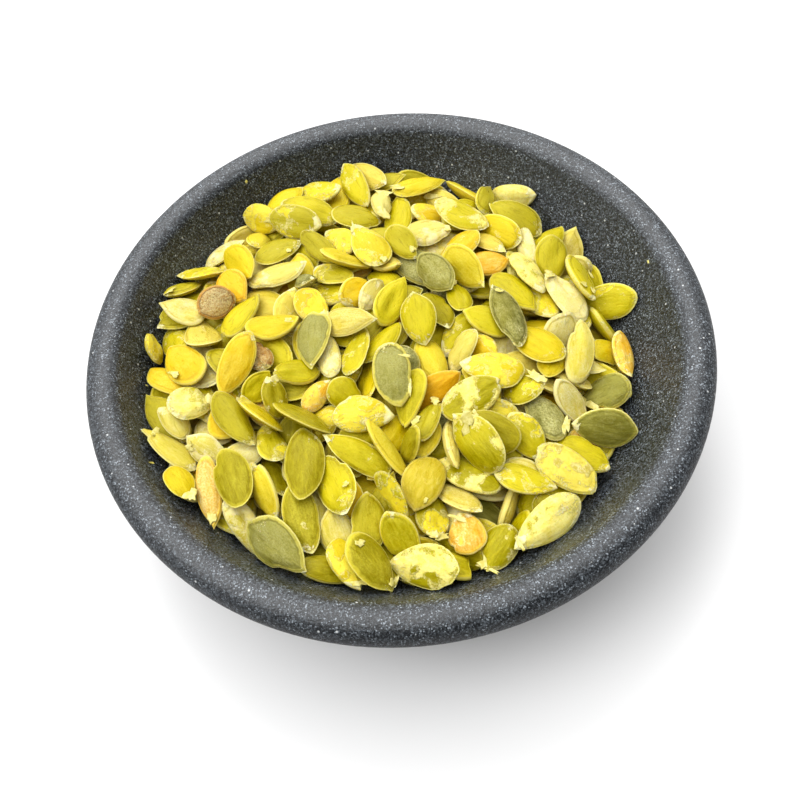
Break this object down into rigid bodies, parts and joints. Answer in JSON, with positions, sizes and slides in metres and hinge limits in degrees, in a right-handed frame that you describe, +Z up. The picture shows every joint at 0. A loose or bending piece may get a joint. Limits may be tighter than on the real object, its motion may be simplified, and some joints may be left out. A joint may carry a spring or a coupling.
{
  "type": "bowl of pumpkin seeds",
  "caption": "Small round dark speckled bowl with a thick rounded lip, filled with a loose heap of shelled pumpkin seeds.",
  "frame": {"origin": "centre of the foot, on the surface that the bowl stands on", "axes": "+Z up, out of the open side of the bowl; the heap lies a little higher against the wall at -X than at +X"},
  "size_m": [0.14, 0.14, 0.042],
  "materials": {
    "bowl": "satin charcoal stoneware with fine pale specks",
    "seeds": "dry seed kernels, olive to yellow-green, with cream rims and peeling skin"
  },
  "bodies": {
    "root": {"bowl": "bowl", "seed_heap": "seeds"}
  },
  "joints": []
}
